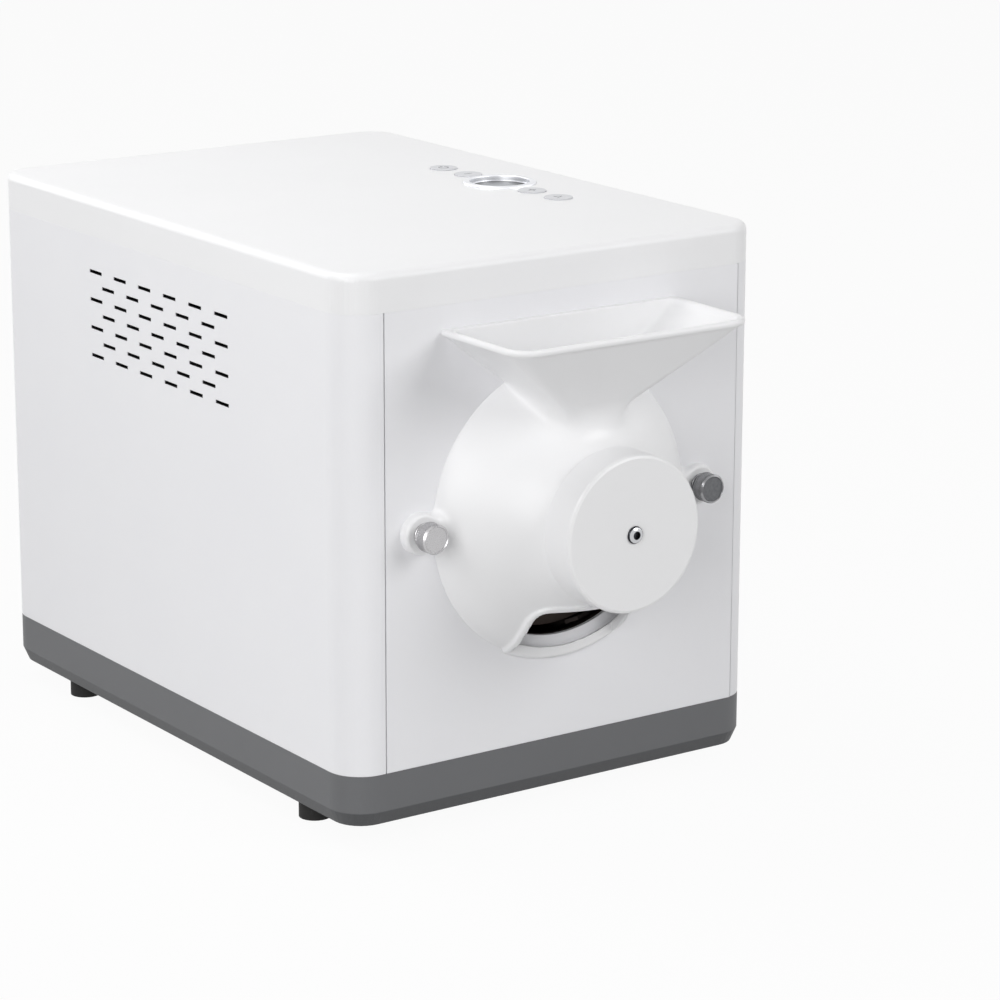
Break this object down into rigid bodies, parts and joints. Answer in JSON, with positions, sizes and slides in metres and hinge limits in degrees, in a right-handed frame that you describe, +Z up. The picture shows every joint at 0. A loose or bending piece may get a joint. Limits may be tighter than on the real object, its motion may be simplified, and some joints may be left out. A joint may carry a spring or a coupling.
{
  "type": "home coffee bean roaster",
  "caption": "Countertop drum roaster for coffee beans: white cabinet, grey base, moulded front cover with hopper and outlet, thumbscrews, and round controls on the lid.",
  "frame": {"origin": "middle of the bounding box's base, on the surface that the feet stand on", "axes": "+X to the right of someone who looks at the front, front faces -Y, +Z up; the drum's axis runs along Y"},
  "size_m": [0.24, 0.4034, 0.2777],
  "materials": {
    "white_metal": "satin white powder coat",
    "white_plastic": "smooth white moulding",
    "grey_plastic": "fine-grained grey moulding",
    "rubber": "matt black",
    "chrome": "polished",
    "bright_steel": "bright sheet",
    "sintered_bronze": "sintered, dull",
    "brass": "turned",
    "black_plastic": "moulded black",
    "ivory_plastic": "moulded ivory",
    "circuit_board": "green solder mask",
    "button_grey": "smooth light grey",
    "lens": "dark window",
    "heater_steel": "dull oxidised tube",
    "red_plastic": "moulded"
  },
  "bodies": {
    "housing": {"base_tray": "grey_plastic", "feet": "rubber", "left_side_cover": "white_metal", "right_side_cover": "white_metal", "front_panel": "white_metal", "rear_panel": "white_metal", "top_lid": "white_plastic", "display_bezel": "chrome", "display_lens": "lens", "control_board": "circuit_board", "cover_inserts": "brass", "rear_bearing": "sintered_bronze", "roasting_chamber": "bright_steel", "chamber_saddles": "bright_steel", "rear_bulkhead": "bright_steel", "heating_element": "heater_steel", "heater_bushes": "ivory_plastic", "temperature_probe": "bright_steel", "overheat_cutout": "black_plastic", "gear_motor": "bright_steel", "motor_mount": "bright_steel", "exhaust_duct": "bright_steel", "fan_housing": "black_plastic", "power_inlet": "black_plastic", "switch_housing": "black_plastic", "rear_screws": "bright_steel", "base_screws": "bright_steel"},
    "drum": {"drum_shell": "bright_steel", "drum_vanes": "bright_steel", "front_spider": "bright_steel", "drum_shaft": "bright_steel", "drum_gear": "ivory_plastic"},
    "motor_pinion": {"motor_pinion": "ivory_plastic"},
    "fan_rotor": {"fan_rotor": "black_plastic"},
    "front_cover": {"front_cover": "white_plastic", "cover_cap": "white_plastic", "cap_screw": "chrome", "front_bush": "sintered_bronze"},
    "thumbscrew_left": {"thumbscrew_left": "chrome"},
    "thumbscrew_right": {"thumbscrew_right": "chrome"},
    "button_power": {"button_power": "button_grey"},
    "button_down": {"button_down": "button_grey"},
    "button_up": {"button_up": "button_grey"},
    "button_start": {"button_start": "button_grey"},
    "rocker": {"rocker": "red_plastic"}
  },
  "joints": [
    {"name": "drum_spin", "type": "hinge", "parent": "housing", "child": "drum", "pos_m": [0, -0.03925, 0.151], "axis": [0, 1, 0], "continuous": true},
    {"name": "pinion_spin", "type": "hinge", "parent": "housing", "child": "motor_pinion", "pos_m": [0.024, 0.10875, 0.10943], "axis": [0, 1, 0], "continuous": true},
    {"name": "fan_spin", "type": "hinge", "parent": "housing", "child": "fan_rotor", "pos_m": [-0.04633, 0.18575, 0.2046], "axis": [0, 1, 0], "continuous": true},
    {"name": "cover_pull", "type": "slide", "parent": "housing", "child": "front_cover", "axis": [0, -1, 0], "range_m": [0, 0.12]},
    {"name": "thumbscrew_left_turn", "type": "hinge", "parent": "front_cover", "child": "thumbscrew_left", "pos_m": [-0.081, -0.14925, 0.151], "axis": [0, 1, 0], "continuous": true},
    {"name": "thumbscrew_right_turn", "type": "hinge", "parent": "front_cover", "child": "thumbscrew_right", "pos_m": [0.081, -0.14925, 0.151], "axis": [0, 1, 0], "continuous": true},
    {"name": "button_power_press", "type": "slide", "parent": "housing", "child": "button_power", "axis": [0, 0, -1], "range_m": [0, 0.0008], "stiffness_N_per_m": 500},
    {"name": "button_down_press", "type": "slide", "parent": "housing", "child": "button_down", "axis": [0, 0, -1], "range_m": [0, 0.0008], "stiffness_N_per_m": 500},
    {"name": "button_up_press", "type": "slide", "parent": "housing", "child": "button_up", "axis": [0, 0, -1], "range_m": [0, 0.0008], "stiffness_N_per_m": 500},
    {"name": "button_start_press", "type": "slide", "parent": "housing", "child": "button_start", "axis": [0, 0, -1], "range_m": [0, 0.0008], "stiffness_N_per_m": 500},
    {"name": "rocker_tilt", "type": "hinge", "parent": "housing", "child": "rocker", "pos_m": [0.072, 0.19575, 0.104], "axis": [0, 0, 1], "range_deg": [-8, 0]}
  ],
  "couplings": [
    {"joint": "pinion_spin", "follows": "drum_spin", "ratio": -3.5714}
  ]
}
